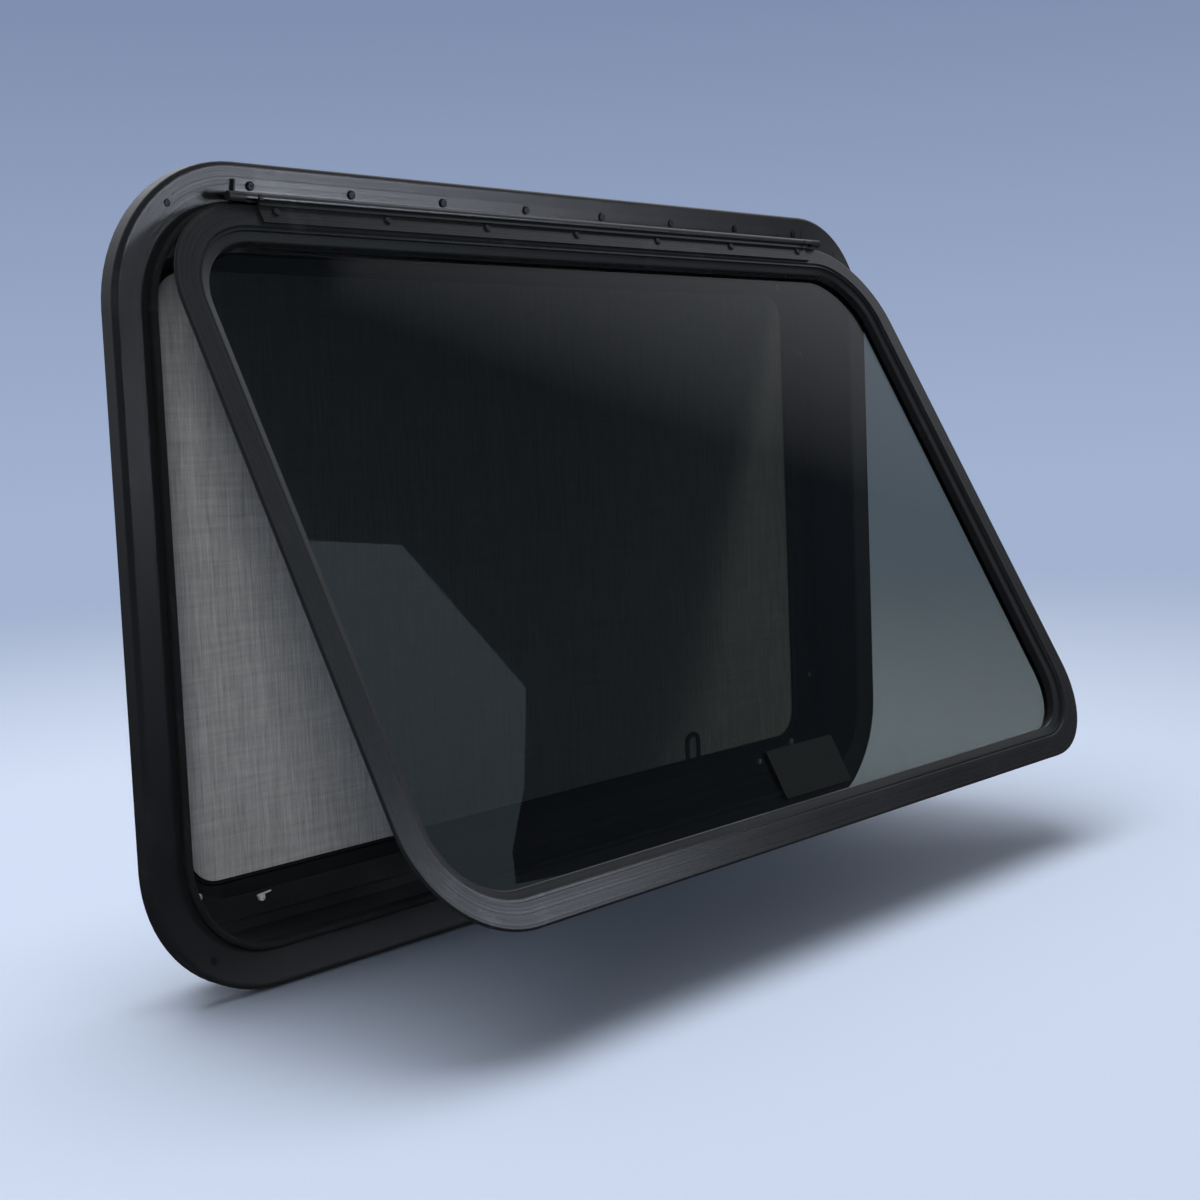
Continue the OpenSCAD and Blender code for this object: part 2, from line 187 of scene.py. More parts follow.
class Finish:
    """A material, with short ways to add and join its nodes."""

    def __init__(self, name):
        self.material = bpy.data.materials.new(name)
        self.material.use_nodes = True
        self.tree = self.material.node_tree
        self.shader = self.tree.nodes["Principled BSDF"]
        self.place = None

    def put(self, target, value):
        if isinstance(value, Wire):
            self.tree.links.new(value.socket, target)
        else:
            target.default_value = value

    def node(self, kind, settings=None, values=None, output=0):
        made = self.tree.nodes.new(kind)
        for key, value in (settings or {}).items():
            setattr(made, key, value)
        for key, value in (values or {}).items():
            self.put(made.inputs[key], value)
        return Wire(self, made.outputs[output])

    def where(self):
        if self.place is None:
            self.place = self.node("ShaderNodeTexCoord", output="Object")
        return self.place

    def turned(self, shift=(0, 0, 0), turn=(0, 0, 0), scale=(1, 1, 1)):
        return self.node("ShaderNodeMapping", {"vector_type": "TEXTURE"}, {
            "Vector": self.where(), "Location": shift, "Rotation": turn, "Scale": scale,
        })

    def noise(self, size, detail=2.0, vector=None, roughness=0.5):
        """Cloudy noise from 0 to 1 whose patches are about size metres across."""
        return self.node("ShaderNodeTexNoise", None, {
            "Vector": vector or self.where(), "Scale": 1 / size,
            "Detail": detail, "Roughness": roughness,
        })

    def parts(self, vector):
        split = self.tree.nodes.new("ShaderNodeSeparateXYZ")
        self.put(split.inputs[0], vector)
        return [Wire(self, socket) for socket in split.outputs]

    def clamp(self, value, low=0.0, high=1.0):
        """0 below low, 1 above high, and evenly rising in between."""
        return self.node("ShaderNodeMapRange", None, {
            "Value": value, "From Min": low, "From Max": high,
        })

    def blend(self, factor, first, second):
        made = self.tree.nodes.new("ShaderNodeMix")
        made.data_type = "RGBA"
        self.put(made.inputs["Factor"], factor)
        for socket, color in ((MIX_FIRST, first), (MIX_SECOND, second)):
            self.put(made.inputs[socket], (*color, 1) if isinstance(color, tuple) else color)
        return Wire(self, made.outputs[MIX_RESULT])

    def bump(self, height, distance, strength=1.0):
        self.put(self.shader.inputs["Normal"], self.node(
            "ShaderNodeBump", None, {"Height": height, "Distance": distance, "Strength": strength}))

    def set(self, **values):
        for key, value in values.items():
            self.put(self.shader.inputs[key.replace("_", " ")], value)
        return self

    def show(self, surface):
        """Use this surface for the material, in place of its own shader."""
        self.put(self.tree.nodes["Material Output"].inputs["Surface"], surface)


print("finish helpers ready")

# %% [markdown]
# ## Lines that follow a bent extrusion
#
# An extruded bar keeps fine lines from the die along its whole length, and when it is bent
# round a corner the lines bend with it. A noise that only knows how far a point lies from the
# outline of the rounded rectangle gives exactly such lines. The distance is the usual one for a
# rounded box: measure from an inner rectangle, and take the corner's radius off.

# %% Distance from the outline of a rounded rectangle
def inset_from_outline(finish, width, height, radius, centre, lean=0.0):
    x, _, z = finish.parts(finish.turned(shift=tuple(centre), turn=(lean, 0, 0)))
    over_x = (abs(x) - (width / 2 - radius) * MM).math("MAXIMUM", 0.0)
    over_z = (abs(z) - (height / 2 - radius) * MM).math("MAXIMUM", 0.0)
    return radius * MM - (over_x * over_x + over_z * over_z).math("SQRT")


def die_lines(finish, inset, size):
    """Fine lines along the extrusion, from 0 to 1."""
    spread = finish.node("ShaderNodeCombineXYZ", None, {"X": inset})
    return finish.clamp(finish.noise(size, detail=3.0, vector=spread, roughness=0.65), 0.3, 0.7)


print("outline helpers ready")

# %% [markdown]
# ## Powder-coated aluminium
#
# The frame, the sash, the hinge and the screen's rails are aluminium with a satin black powder
# coat. The coat is not one flat black: it is slightly uneven, has a very fine orange-peel
# grain, shows the die lines underneath, and is rubbed a little glossier and greyer in patches.
# The colour stays almost black, and most of what one sees is the soft reflection, so the work
# is in roughness and bump.

# %% Powder coat
def powder_coat(name, outline=None, tone=1.0, shine=0.36):
    finish = Finish(name)
    cloud = finish.noise(0.09, detail=4.0)
    rubbed = finish.clamp(finish.noise(0.03, detail=6.0, roughness=0.7), 0.56, 0.74)
    grain = finish.noise(0.0009, detail=2.0)
    dust = finish.clamp(finish.noise(0.0035, detail=5.0, roughness=0.8), 0.66, 0.8)
    lines = die_lines(finish, inset_from_outline(finish, *outline), 0.0016) if outline else cloud
    dark = tuple(tone * v for v in (0.0065, 0.0066, 0.0072))
    pale = tuple(tone * v for v in (0.0125, 0.0128, 0.0140))
    coat = finish.blend(cloud * 0.6 + lines * 0.4, dark, pale)
    finish.set(
        Base_Color=finish.blend(rubbed * 0.16 + dust * 0.12, coat, (0.060, 0.061, 0.064)),
        Roughness=shine - 0.03 + cloud * 0.09 + lines * 0.16 - rubbed * 0.05 + dust * 0.12,
        Specular_IOR_Level=0.5,
    )
    finish.bump(grain * 0.25 + lines * 0.75, 0.00009, 0.45)
    return finish.material


frame_outline = (FRAME_W, FRAME_H, FRAME_R, on_frame(0, 0, 0))
sash_middle = on_sash(0, SASH_HANG + SASH_H / 2, SASH_BACK)
sash_outline = (SASH_W, SASH_H, SASH_R, sash_middle, -open_angle)
frame_coat = powder_coat("frame_powder_coat", frame_outline, shine=0.28)
sash_coat = powder_coat("sash_powder_coat", sash_outline, tone=0.9, shine=0.20)
# The hinge's coat is painted half as light again as the frame's: a painted highlight, since the
# leaf lies in the frame's sheen.
hinge_coat_painted_lighter = powder_coat("hinge_powder_coat_painted_lighter", frame_outline, tone=1.5, shine=0.23)
screen_coat = powder_coat("screen_powder_coat", tone=0.7, shine=0.42)
print("powder coats:", frame_coat.name, sash_coat.name, hinge_coat_painted_lighter.name, screen_coat.name)

# %% [markdown]
# ## Rubber and moulded plastic
#
# The seal, the glazing rubber and the spline are soft black rubber: matt, a little dusty, with
# a fine skin. The end caps, the screen's corners and the pull loop are moulded plastic,
# somewhat smoother with a spark-eroded texture. Both are duller than the frame's coat, so that
# they read as gaps and lines.

# %% Rubber and plastic
def dull_black(name, tone, shine, grain_size, grain_depth, bloom):
    finish = Finish(name)
    cloud = finish.noise(0.02, detail=5.0, roughness=0.6)
    grain = finish.noise(grain_size, detail=3.0)
    dust = finish.clamp(finish.noise(0.006, detail=6.0, roughness=0.75), 0.55, 0.8)
    dark = tuple(tone * v for v in (0.7, 0.7, 0.72))
    pale = tuple(tone * v for v in (1.3, 1.3, 1.36))
    body = finish.blend(cloud, dark, pale)
    finish.set(
        Base_Color=finish.blend(dust * bloom, body, (0.09, 0.09, 0.092)),
        Roughness=shine + cloud * 0.12 + dust * 0.10,
        Specular_IOR_Level=0.42,
    )
    finish.bump(grain + cloud * 0.3, grain_depth, 0.5)
    return finish.material


seal_rubber = dull_black("seal_rubber", 0.008, 0.55, 0.0007, 0.00006, 0.25)
moulded_black = dull_black("moulded_black", 0.010, 0.42, 0.0005, 0.00004, 0.15)
print("dull blacks:", seal_rubber.name, moulded_black.name)

# %% [markdown]
# ## Tinted glass
#
# The pane is grey-green privacy glass: where it stands in front of the open sky it lets through
# about a fifth of the light, and where it stands in front of the dark screen one sees mostly
# reflections. Transmission with a dark base colour gives the tint, and the faint dirt on it
# mostly changes roughness, which is how real glass looks clean in front and dusty against the
# light.

# %% Glass
def tinted_glass():
    finish = Finish("tinted_glass")
    film = finish.clamp(finish.noise(0.05, detail=7.0, roughness=0.7), 0.5, 0.85)
    specks = finish.clamp(finish.noise(0.0025, detail=4.0, roughness=0.8), 0.70, 0.82)
    clean, dirty = (0.200, 0.212, 0.182), (0.228, 0.240, 0.208)
    finish.set(
        Base_Color=finish.blend(film * 0.2 + specks * 0.1, clean, dirty),
        Roughness=0.004 + film * 0.03 + specks * 0.05,
        Transmission_Weight=1.0,
        IOR=1.5,
    )
    return finish.material


pane_glass = tinted_glass()
print("glass:", pane_glass.name)

# %% [markdown]
# ## Dressing the solids
#
# The large parts are already there and in place, so each one only gets its finish. The names of
# the rails, corners, clips and caps begin alike, and one line dresses each such family.

# %% Dress the carried-over parts
def dress(material, *names):
    for name in names:
        mesh = nodes[name].data
        mesh.materials.clear()
        mesh.materials.append(material)


def family(*beginnings):
    return [name for name in nodes if name.startswith(beginnings)]


dress(frame_coat, "outer_frame")
dress(hinge_coat_painted_lighter, "hinge_frame_leaf")
dress(sash_coat, "sash_frame", "hinge_sash_leaf")
dress(screen_coat, *family("screen_rail", "screen_clip"))
dress(moulded_black, "screen_pull_loop", *family("screen_corner", "hinge_end_cap"))
dress(seal_rubber, "weather_seal", "glazing_tape", "glazing_bead", "screen_spline")
dress(pane_glass, "glass_pane")
print("dressed", len([n for n in nodes.values() if n.data.materials]), "nodes")

# %% [markdown]
# ## Making a piece
#
# Every new piece goes through the same door: the bmesh becomes a mesh object at the origin, it
# gets its finish, and it is tied to its body.

# %% Helpers that finish and place a piece
SAME_PLACE = 1e-6
SHARP_ABOVE = math.radians(35)


def finish_piece(bm, name, material, body):
    bmesh.ops.remove_doubles(bm, verts=bm.verts, dist=SAME_PLACE)
    bmesh.ops.recalc_face_normals(bm, faces=bm.faces)
    mesh = bpy.data.meshes.new(name)
    bm.to_mesh(mesh)
    bm.free()
    piece = bpy.data.objects.new(name, mesh)
    bpy.context.scene.collection.objects.link(piece)
    mesh.materials.append(material)
    for face in mesh.polygons:
        face.use_smooth = True
    mesh.set_sharp_from_angle(angle=SHARP_ABOVE)
    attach(piece, body)
    return piece


def stand_at(place, outwards, spin=0.0):
    """A matrix that puts a part made upright at the origin on a place, facing outwards."""
    turn = Vector((0, 0, 1)).rotation_difference(outwards).to_matrix().to_4x4()
    return Matrix.Translation(place) @ turn @ Matrix.Rotation(spin, 4, "Z")


# %% [markdown]
# ## The woven cloth
#
# The insect screen is a coated glass-fibre weave, pulled tight and pressed into its groove by
# the spline. One cannot model every thread, so the cloth is one rounded sheet, and the material
# draws the threads. The distance from the nearest thread decides where a little light comes
# through, and slow waves in the spacing keep the rows from looking ruled. From afar single
# holes are not seen, but long streaks are, where threads lie thicker or thinner, so those give
# the cloth its colour.

# %% Cloth finish
THREAD_PITCH, THREAD_SWAY = 1.45, 1.6
GAP_SHARE = 0.62     # how much of the pitch is gap
GAP_COVER = 0.82     # how much of the view a gap still hides


def woven_cloth():
    finish = Finish("insect_cloth")
    x, _, z = finish.parts(finish.where())
    sway = finish.noise(0.05, detail=2.0) * (THREAD_SWAY * MM)

    def from_gap(value):
        """0 in the middle of a gap between threads and 1 on a thread."""
        return abs(((value + sway) / (THREAD_PITCH * MM)).math("FRACT") - 0.5) * 2.0

    thread = from_gap(x).math("MAXIMUM", from_gap(z))
    covered = thread > GAP_SHARE
    along_z, along_x = finish.turned(scale=(1, 1, 22)), finish.turned(scale=(16, 1, 1))
    down_streaks = finish.noise(0.0015, detail=5.0, vector=along_z, roughness=0.72)
    cross_streaks = finish.noise(0.0030, detail=4.0, vector=along_x, roughness=0.7)
    tone = finish.clamp(down_streaks * 0.72 + cross_streaks * 0.28, 0.32, 0.68)
    finish.set(
        Base_Color=finish.blend(tone, (0.190, 0.186, 0.180), (0.400, 0.392, 0.380)),
        Roughness=0.50 + tone * 0.15,
        Alpha=covered.math("MAXIMUM", GAP_COVER + tone * 0.12),
        Specular_IOR_Level=0.3,
    )
    finish.bump(tone, 0.00012, 0.5)
    return finish.material


cloth_finish = woven_cloth()
print("cloth finish:", cloth_finish.name)

# %% Cloth sheet
CLOTH_W, CLOTH_H, CLOTH_R, CLOTH_T = 641.2, 383.2, 22.0, 0.3
cloth_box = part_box("screen_mesh")
cloth_depth = (cloth_box[0][1] + cloth_box[1][1]) / 2 / MM + FRAME_PROUD


def rounded_plate(width, height, radius, thickness, segments=10):
    """A flat plate with rounded corners, lying in the XY plane with its back at z = 0."""
    bm = bmesh.new()
    bmesh.ops.create_grid(bm, x_segments=1, y_segments=1, size=0.5)
    bmesh.ops.scale(bm, vec=(width * MM, height * MM, 1), verts=bm.verts)
    bmesh.ops.bevel(bm, geom=list(bm.verts), offset=radius * MM, segments=segments,
                    profile=0.5, affect="VERTICES", material=-1)
    made = bmesh.ops.extrude_face_region(bm, geom=list(bm.faces))
    lifted = [item for item in made["geom"] if isinstance(item, bmesh.types.BMVert)]
    bmesh.ops.translate(bm, vec=(0, 0, thickness * MM), verts=lifted)
    return bm


cloth = rounded_plate(CLOTH_W, CLOTH_H, CLOTH_R, CLOTH_T)
cloth_place = stand_at(on_frame(0, 0, cloth_depth + CLOTH_T / 2), OUTWARDS)
bmesh.ops.transform(cloth, matrix=cloth_place, verts=cloth.verts)
cloth_piece = finish_piece(cloth, "stretched_cloth", cloth_finish, "frame")
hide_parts("screen_mesh")
print("cloth", CLOTH_W, "x", CLOTH_H, "mm")

# %% [markdown]
# ## Screws
#
# Both hinge leaves are fixed with rows of small blackened pan-head screws, and single ones sit
# at the frame's corners and at the ends of the hinge's socket. The lip in front of the screen
# has brighter ones, and beside one of them lies a loose screw's bare shank. Each screw is a
# disc that is extruded and narrowed in steps to make the dome. The recess is the top face,
# inset, pulled into a four-pointed star and pushed down. The screws are turned this way and
# that, as by hand.

# %% Screw finish and shape
def worn_steel(name, dark, bright, metal, shine):
    finish = Finish(name)
    rub = finish.clamp(finish.noise(0.0012, detail=4.0, roughness=0.7), 0.45, 0.65)
    finish.set(
        Base_Color=finish.blend(rub, dark, bright),
        Metallic=metal,
        Roughness=shine + rub * 0.12,
    )
    finish.bump(rub, 0.00004, 0.4)
    return finish.material


black_screw = worn_steel("blackened_screw", (0.003, 0.003, 0.003), (0.020, 0.020, 0.022), 0.0, 0.46)
bright_screw = worn_steel("bright_screw", (0.62, 0.62, 0.63), (0.86, 0.86, 0.87), 0.5, 0.30)
PAN_STEPS = ((0.45, 1.0), (0.35, 0.93), (0.15, 0.78), (0.05, 0.55))   # share of height, narrowing
RIM_SHARE = 0.03
STAR_PULLS = (1.0, 0.72, 0.42, 0.42, 0.42, 0.72)
RECESS_SHARE, RECESS_TAPER = 0.5, 0.7


def raised(bm, face):
    """Extrude a face, and return the new face on top."""
    grown = bmesh.ops.extrude_face_region(bm, geom=[face])
    return next(item for item in grown["geom"] if isinstance(item, bmesh.types.BMFace))


def add_screw(bm, place, outwards, radius, height, spin):
    ring = bmesh.ops.create_circle(bm, cap_ends=True, segments=24, radius=radius * MM)["verts"]
    older = set(bm.verts) - set(ring)
    top = ring[0].link_faces[0]
    for rise, narrow in PAN_STEPS:
        top = raised(bm, top)
        bmesh.ops.translate(bm, vec=(0, 0, rise * height * MM), verts=list(top.verts))
        bmesh.ops.scale(bm, vec=(narrow, narrow, 1), verts=list(top.verts))
    bmesh.ops.inset_region(bm, faces=[top], thickness=RIM_SHARE * radius * MM)
    for index, vert in enumerate(top.verts):
        pull = STAR_PULLS[index % len(STAR_PULLS)]
        vert.co.x *= pull
        vert.co.y *= pull
    bottom = raised(bm, top)
    bmesh.ops.translate(bm, vec=(0, 0, -RECESS_SHARE * height * MM), verts=list(bottom.verts))
    bmesh.ops.scale(bm, vec=(RECESS_TAPER, RECESS_TAPER, 1), verts=list(bottom.verts))
    bmesh.ops.delete(bm, geom=[top], context="FACES")
    fresh = [vert for vert in bm.verts if vert not in older]
    bmesh.ops.transform(bm, matrix=stand_at(place, outwards, spin), verts=fresh)


print("screw finishes:", black_screw.name, bright_screw.name)

# %% Rows of screws on the hinge
FRAME_ROW, FRAME_ROW_INSET = (-280, -200, -120, -40, 40, 120, 200, 280), 14.0
SASH_ROW, SASH_ROW_DOWN = (-270, -180, -90, 0, 90, 180, 270), 8.6
FRAME_SCREW, SASH_SCREW = (2.9, 1.7), (2.7, 1.5)   # radius and height
SINK = 0.1                                         # how deep a screw sits in its part
face_out = Vector((0, -math.cos(FACE_TILT), -math.sin(FACE_TILT)))


def on_frame_leaf(x, inset):
    """A place on the front of the frame leaf, by its distance below the frame's top edge."""
    on_face = on_frame(x, FRAME_H / 2 - inset, inset * FACE_FALL)
    return on_face + face_out * (LEAF_T - SINK) * MM


row = bmesh.new()
for number, x in enumerate(FRAME_ROW):
    add_screw(row, on_frame_leaf(x, FRAME_ROW_INSET), face_out, *FRAME_SCREW, number * 1.1)
finish_piece(row, "frame_leaf_screws", black_screw, "frame")

row = bmesh.new()
for number, x in enumerate(SASH_ROW):
    place = on_sash(x, SASH_ROW_DOWN, SASH_BACK - LEAF_T + SINK)
    add_screw(row, place, -sash_in, *SASH_SCREW, number * 0.9)
finish_piece(row, "sash_leaf_screws", black_screw, "sash")
print("screws on the hinge:", len(FRAME_ROW), "and", len(SASH_ROW))

# %% Screws on the frame's face and the socket's ends
CORNER_X, CORNER_Z, CORNER_INSET, CORNER_SINK = 339.4, 226.2, 12.5, 0.4
SOCKET_END, SOCKET_R = 281, 2.9
CORNER_SCREW, SOCKET_SCREW, LIP_SCREW = (2.4, 1.1), (1.9, 0.9), (2.6, 2.2)
FOUR_CORNERS = [(side_x, side_z) for side_x in (-1, 1) for side_z in (-1, 1)]
row = bmesh.new()
for side_x, side_z in FOUR_CORNERS:
    lean = Vector((side_x, 0, side_z)).normalized()
    slope_x, slope_z = -lean.x * math.sin(FACE_TILT), -lean.z * math.sin(FACE_TILT)
    corner_out = Vector((slope_x, -math.cos(FACE_TILT), slope_z))
    on_face = on_frame(side_x * CORNER_X, side_z * CORNER_Z, CORNER_INSET * FACE_FALL)
    place = on_face - corner_out * CORNER_SINK * MM
    add_screw(row, place, corner_out, *CORNER_SCREW, side_x + side_z)
for end in (-1, 1):
    place = on_frame(end * SOCKET_END, FRAME_H / 2 - AXIS_DROP, -AXIS_OUT - SOCKET_R)
    add_screw(row, place, OUTWARDS, *SOCKET_SCREW, end)
finish_piece(row, "frame_face_screws", black_screw, "frame")
print("screws: 4 on the face and 2 on the socket")

# %% Screws on the lip in front of the screen
LIP_FRONT = 46.9
LIP_ROW = ((-268, -209, 0.4), (268, -209, 1.0), (-268, 209, 2.1), (268, 209, 0.2),
           (-347.5, 143, 0.9), (-347.5, -143, 1.7), (347.5, 143, 2.6), (347.5, -143, 0.6))
SHANK_X, SHANK_Z, SHANK_LONG, SHANK_PROUD = -271.5, -207.6, 11.0, 1.0
SHANK_WIDE, SHANK_THIN, SHANK_RISE = 0.9, 0.6, 0.8
SHANK_LIE = Vector((1, 0, 0.12)).normalized()
row = bmesh.new()
for x, z, spin in LIP_ROW:
    add_screw(row, on_frame(x, z, LIP_FRONT + SINK), OUTWARDS, *LIP_SCREW, spin)
shank = bmesh.ops.create_cone(row, cap_ends=True, segments=12, radius1=SHANK_WIDE * MM,
                              radius2=SHANK_THIN * MM, depth=SHANK_LONG * MM)
shank_place = on_frame(SHANK_X + SHANK_LONG / 2, SHANK_Z + SHANK_RISE, LIP_FRONT - SHANK_PROUD)
bmesh.ops.transform(row, matrix=stand_at(shank_place, SHANK_LIE), verts=shank["verts"])
finish_piece(row, "lip_screws", bright_screw, "frame")
print("screws on the lip:", len(LIP_ROW), "and a loose shank")

# %% [markdown]
# ## Rivets on the lip's corners
#
# The lip that the screen rests on carries one grey rivet near each bent corner. Each is a low
# dome: a small ball is cut in half and flattened, as a half-round rivet is when it is set. The
# dome is made once and put down four times.

# %% Rivets
RIVET_X, RIVET_Z, RIVET_R = 316.5, 199.0, 3.0
RIVET_FLAT, RIVET_SINK = 0.6, 0.05
dome = bmesh.new()
bmesh.ops.create_uvsphere(dome, u_segments=20, v_segments=10, radius=RIVET_R * MM)
bmesh.ops.bisect_plane(dome, geom=[*dome.verts, *dome.edges, *dome.faces],
                       plane_co=(0, 0, 0), plane_no=(0, 0, -1), clear_outer=True)
bmesh.ops.scale(dome, vec=(1, 1, RIVET_FLAT), verts=dome.verts)
dome_mesh = bpy.data.meshes.new("rivet_dome")
dome.to_mesh(dome_mesh)
dome.free()

row = bmesh.new()
for side_x, side_z in FOUR_CORNERS:
    place = on_frame(side_x * RIVET_X, side_z * RIVET_Z, LIP_FRONT + RIVET_SINK)
    older = len(row.verts)
    row.from_mesh(dome_mesh)
    row.verts.ensure_lookup_table()
    bmesh.ops.transform(row, matrix=stand_at(place, OUTWARDS), verts=row.verts[older:])
bpy.data.meshes.remove(dome_mesh)
finish_piece(row, "screen_rivets", bright_screw, "frame")
print("rivets:", len(FOUR_CORNERS))

# %% [markdown]
# ## The bare plate on the glass
#
# Low down in the middle of the pane sits a thin dark plate with nothing on it. It is a rounded
# sheet of about a third of a millimetre, laid on the glass from outside, and it swings with the
# sash.

# %% Bare plate
plate_finish = Finish("bare_plate")
wear = plate_finish.noise(0.012, detail=5.0, roughness=0.65)
plate_finish.set(
    Base_Color=plate_finish.blend(wear, (0.005, 0.006, 0.006), (0.009, 0.010, 0.010)),
    Roughness=0.62 + wear * 0.2,
    Specular_IOR_Level=0.06,
)
plate_finish.bump(wear, 0.00005, 0.4)
GLASS_FRONT = 10.0
PLATE_W, PLATE_H, PLATE_R, PLATE_T = 74, 34, 1.5, 0.3
PLATE_X, PLATE_DOWN = 3, 421.5
plate = rounded_plate(PLATE_W, PLATE_H, PLATE_R, PLATE_T, segments=4)
plate_place = stand_at(on_sash(PLATE_X, PLATE_DOWN, SASH_BACK + GLASS_FRONT), -sash_in)
bmesh.ops.transform(plate, matrix=plate_place, verts=plate.verts)
finish_piece(plate, "bare_plate", plate_finish.material, "sash")
print("plate", PLATE_W, "x", PLATE_H, "mm")

# %% [markdown]
# ## Lighting a black window
#
# Black coat and dark glass have almost no colour of their own, so one lights what they mirror.
# Four small lamps are placed by following the view from the camera to a spot on the window and
# on, as from a mirror. The spots lie on the lower rail of the sash, on the frame's top, on its
# upper left corner and on its left side.

# %% Follow a reflection
def mirrored(spot, outwards, distance):
    """The place, at a distance from the spot, that the camera sees mirrored in it."""
    view = (spot - CAMERA_PLACE).normalized()
    return spot + (view - 2 * view.dot(outwards) * outwards) * distance


pane_out = -sash_in
bend_out = Vector((0.117, -0.987, -0.107)).normalized()
left_out = Vector((0.158, -0.987, 0)).normalized()
key_place = mirrored(on_sash(-300, 458, SASH_BACK), pane_out, 1.0)
sheen_place = mirrored(on_frame(-300, 243, 0), face_out, 1.4)
corner_place = mirrored(on_frame(-338, 222, 0), bend_out, 1.6)
stile_place = mirrored(on_frame(-368, 65, 2), left_out, 1.6)
print("key at", [round(v, 2) for v in key_place], "sheen at", [round(v, 2) for v in sheen_place])

# %% [markdown]
# ## Floor, backdrop and mirrored room
#
# The floor is plain pale paint that fades into the backdrop's lowest colour with distance, so
# no line shows where they meet. The backdrop is a round wall that darkens upwards. Mirrors see
# neither of them, but a dark floor and a second round wall, the mirrored room. It is nearly
# black in front of the window, and grows bright towards the back and on the far right, where
# its upper part is brightest.

# %% Floor
FLOOR_TONE = (0.74, 0.82, 0.98)
FAR_TONE = (0.365, 0.450, 0.640)
MIRRORED_FLOOR = (0.030, 0.031, 0.036)
FLOOR_REACH, FLOOR_GAP = 9.0, 0.0005
FADE_FROM, FADE_TO = 0.75, 3.0
WALL_SIDES = 96
floor_z = cad_box[0][2] - FLOOR_GAP


def staged(bm, name, material):
    """Make a piece of the studio, which is no part of the window."""
    mesh = bpy.data.meshes.new(name)
    bm.to_mesh(mesh)
    bm.free()
    thing = bpy.data.objects.new(name, mesh)
    bpy.context.scene.collection.objects.link(thing)
    mesh.materials.append(material)
    return thing


def hide_from(thing, *kinds):
    """Leave the thing out for these kinds of rays."""
    for kind in kinds:
        setattr(thing, "visible_" + kind, False)


def glow(finish, color):
    return finish.node("ShaderNodeEmission", None, {"Color": color})


def merge(finish, factor, first, second):
    return finish.node("ShaderNodeMixShader", None, {0: factor, 1: first, 2: second})


def only_mirrored(finish):
    """1 for a ray that was mirrored by a surface, and 0 for all others."""
    path = finish.tree.nodes.new("ShaderNodeLightPath")
    glossy = Wire(finish, path.outputs["Is Glossy Ray"])
    through = Wire(finish, path.outputs["Is Transmission Ray"])
    return glossy * (1 - through)


floor_finish = Finish("floor_paint")
floor_finish.set(Base_Color=(*FLOOR_TONE, 1), Roughness=0.75, Specular_IOR_Level=0.2)
fx, fy, _ = floor_finish.parts(floor_finish.where())
far = floor_finish.clamp((fx * fx + fy * fy).math("SQRT"), FADE_FROM, FADE_TO)
paint = Wire(floor_finish, floor_finish.shader.outputs[0])
seen = merge(floor_finish, far, paint, glow(floor_finish, (*FAR_TONE, 1)))
dark = glow(floor_finish, (*MIRRORED_FLOOR, 1))
kept = merge(floor_finish, only_mirrored(floor_finish), seen, dark)
floor_finish.show(kept)
floor_finish.material.cycles.emission_sampling = "NONE"
disc = bmesh.new()
bmesh.ops.create_circle(disc, cap_ends=True, segments=WALL_SIDES, radius=FLOOR_REACH)
bmesh.ops.translate(disc, vec=(0, 0, floor_z), verts=disc.verts)
floor = staged(disc, "floor", floor_finish.material)
print("floor at", round(floor_z, 4))

# %% Backdrop and mirrored room
HIGH_TONE, HIGH_AT = (0.215, 0.275, 0.430), 2.6
MIRRORED_FRONT, MIRRORED_BACK = (0.022, 0.024, 0.029), (0.100, 0.105, 0.115)
MIRRORED_FAR = (1.20, 1.24, 1.32)
ROOM_INSIDE = 0.5    # how far the mirrored room stands inside the backdrop
ONLY_MIRRORS_SEE = ("camera", "diffuse", "transmission", "shadow", "volume_scatter")


def ring_wall(name, radius, finish, color):
    """A round wall with a lid, as high as its radius, that glows in the given colour."""
    finish.show(glow(finish, color))
    bm = bmesh.new()
    ring = bmesh.ops.create_circle(bm, segments=WALL_SIDES, radius=radius)["verts"]
    bmesh.ops.translate(bm, vec=(0, 0, floor_z), verts=ring)
    grown = bmesh.ops.extrude_edge_only(bm, edges=list(bm.edges))["geom"]
    top = [item for item in grown if isinstance(item, bmesh.types.BMVert)]
    bmesh.ops.translate(bm, vec=(0, 0, radius), verts=top)
    rim = [edge for edge in bm.edges if all(vert in top for vert in edge.verts)]
    bmesh.ops.holes_fill(bm, edges=rim)
    return staged(bm, name, finish.material)


drop_finish = Finish("backdrop")
_, _, height = drop_finish.parts(drop_finish.where())
drop_color = drop_finish.blend(drop_finish.clamp(height, 0.0, HIGH_AT), FAR_TONE, HIGH_TONE)
backdrop = ring_wall("backdrop", FLOOR_REACH, drop_finish, drop_color)
hide_from(backdrop, "diffuse", "glossy", "shadow", "volume_scatter")

room_finish = Finish("mirrored_room")
room_x, room_y, room_z = room_finish.parts(room_finish.where())
behind = room_finish.blend(room_finish.clamp(room_y, -3.0, 6.0), MIRRORED_FRONT, MIRRORED_BACK)
far_side = room_finish.clamp(room_x * 0.5 + room_y, 3.0, 9.0)
high_side = room_finish.clamp(room_y + room_z * 0.5 + (room_x - 8.0) * 2.0, -1.3, 3.5)
room_color = room_finish.blend(far_side.math("MAXIMUM", high_side), behind, MIRRORED_FAR)
room = ring_wall("mirrored_room", FLOOR_REACH - ROOM_INSIDE, room_finish, room_color)
hide_from(room, *ONLY_MIRRORS_SEE)
print("backdrop and mirrored room made")

